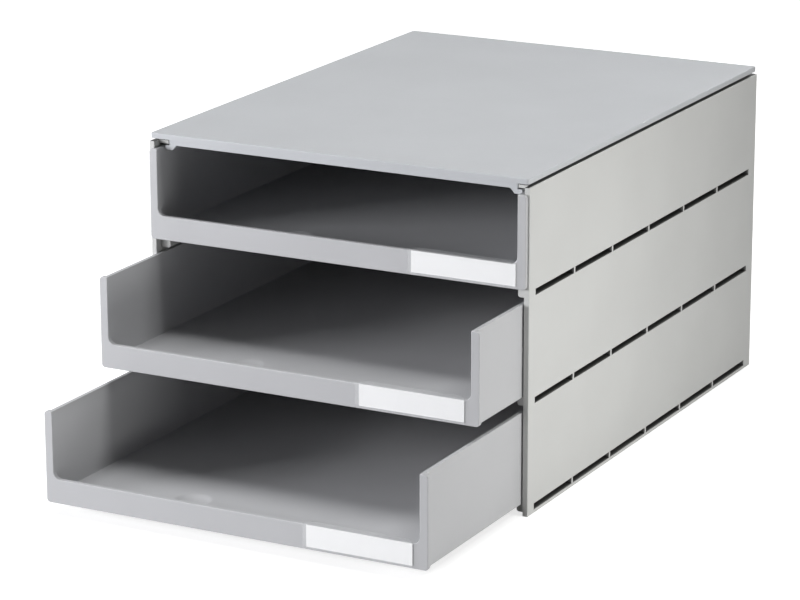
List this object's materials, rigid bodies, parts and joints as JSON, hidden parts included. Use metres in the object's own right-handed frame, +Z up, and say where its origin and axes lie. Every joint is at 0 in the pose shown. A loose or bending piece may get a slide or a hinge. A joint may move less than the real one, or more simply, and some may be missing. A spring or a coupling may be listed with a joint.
{
  "type": "letter tray",
  "caption": "Desk letter tray stack: a flat-panelled open-front casing with U-fronted paper drawers, finger dishes and clear label holders with blank slips",
  "frame": {"origin": "centre of the base of the bounding box at rest, on the table", "axes": "+X to the right seen from the front, +Y to the back (drawers open towards -Y), +Z up"},
  "size_m": [0.25, 0.4582, 0.2],
  "materials": {
    "wall_plastic": "light warm grey polystyrene moulding, fine spark-eroded texture",
    "top_plastic": "light cool grey polystyrene moulding, fine spark-eroded texture",
    "drawer_plastic": "light grey polystyrene moulding, satin",
    "clear_plastic": "clear polystyrene, polished",
    "label_card": "uncoated white card, blank"
  },
  "bodies": {
    "casing": {"left_side_wall": "wall_plastic", "right_side_wall": "wall_plastic", "top_panel": "top_plastic", "bottom_panel": "wall_plastic", "back_panel": "wall_plastic"},
    "bottom_tray": {"bottom_drawer": "drawer_plastic", "bottom_label_window": "clear_plastic", "bottom_label_insert": "label_card"},
    "middle_tray": {"middle_drawer": "drawer_plastic", "middle_label_window": "clear_plastic", "middle_label_insert": "label_card"},
    "top_tray": {"top_drawer": "drawer_plastic", "top_label_window": "clear_plastic", "top_label_insert": "label_card"}
  },
  "joints": [
    {"name": "bottom_drawer_slide", "type": "slide", "parent": "casing", "child": "bottom_tray", "axis": [0, -1, 0], "range_m": [-0.1191, 0.1309]},
    {"name": "middle_drawer_slide", "type": "slide", "parent": "casing", "child": "middle_tray", "axis": [0, -1, 0], "range_m": [-0.0575, 0.1925]},
    {"name": "top_drawer_slide", "type": "slide", "parent": "casing", "child": "top_tray", "axis": [0, -1, 0], "range_m": [0, 0.25]}
  ]
}
